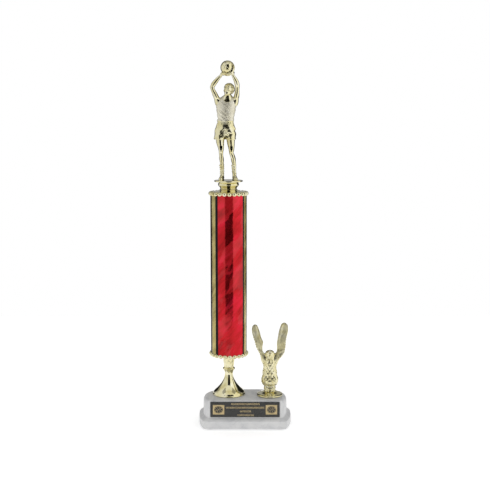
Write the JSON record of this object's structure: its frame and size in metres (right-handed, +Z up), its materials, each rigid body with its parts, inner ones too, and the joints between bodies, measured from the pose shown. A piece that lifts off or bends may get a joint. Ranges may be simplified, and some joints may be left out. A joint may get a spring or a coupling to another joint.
{
  "type": "sports trophy",
  "caption": "Basketball trophy: gold player shooting a ball on a red foil-wrapped column with beaded caps and a flared riser, beside an eagle trim figure on a marble base with an engraved plate.",
  "frame": {"origin": "centre of the footprint, on the surface that the rubber feet rest on", "axes": "+Z up, front with the name plate towards -Y, eagle towards +X"},
  "size_m": [0.114, 0.066, 0.4447],
  "materials": {
    "marble": "cast white marble, fine grey clouding, satin polish",
    "foot_rubber": "matte",
    "tape": "foam mounting tape",
    "plate": "black lacquer, engraved through to bright brass",
    "gold_plastic": "vacuum-metallised pale gold, mirror gloss",
    "gold_figure": "vacuum-metallised pale gold on cast detail",
    "tube_board": "spiral-wound board",
    "wrap_foil": "printed metallic foil film, red with black and gold stripes",
    "zinc_steel": "zinc plated",
    "insert_brass": "turned"
  },
  "bodies": {
    "trophy": {"marble_base": "marble", "rubber_feet": "foot_rubber", "plate_tape": "tape", "name_plate": "plate", "riser": "gold_plastic", "lower_cap": "gold_plastic", "column_tube": "tube_board", "column_wrap": "wrap_foil", "upper_cap": "gold_plastic", "column_rod": "zinc_steel", "rod_washer": "zinc_steel", "rod_lock_washer": "zinc_steel", "rod_nut": "zinc_steel", "stack_washer": "zinc_steel", "stack_nut": "zinc_steel", "trim_screw": "zinc_steel", "trim_washer": "zinc_steel"},
    "player": {"figure_pedestal": "gold_plastic", "figure_insert": "insert_brass", "figure_plate": "gold_plastic", "player_figure": "gold_figure", "basketball": "gold_figure"},
    "eagle": {"eagle_stand": "gold_plastic", "eagle_insert": "insert_brass", "eagle_figure": "gold_figure"}
  },
  "joints": [
    {"name": "player_turn", "type": "hinge", "parent": "trophy", "child": "player", "pos_m": [-0.02, 0.003, 0.2917], "axis": [0, 0, 1], "range_deg": [-45, 180]},
    {"name": "eagle_turn", "type": "hinge", "parent": "trophy", "child": "eagle", "pos_m": [0.0307, -0.003, 0.0357], "axis": [0, 0, 1], "range_deg": [-45, 180]}
  ]
}
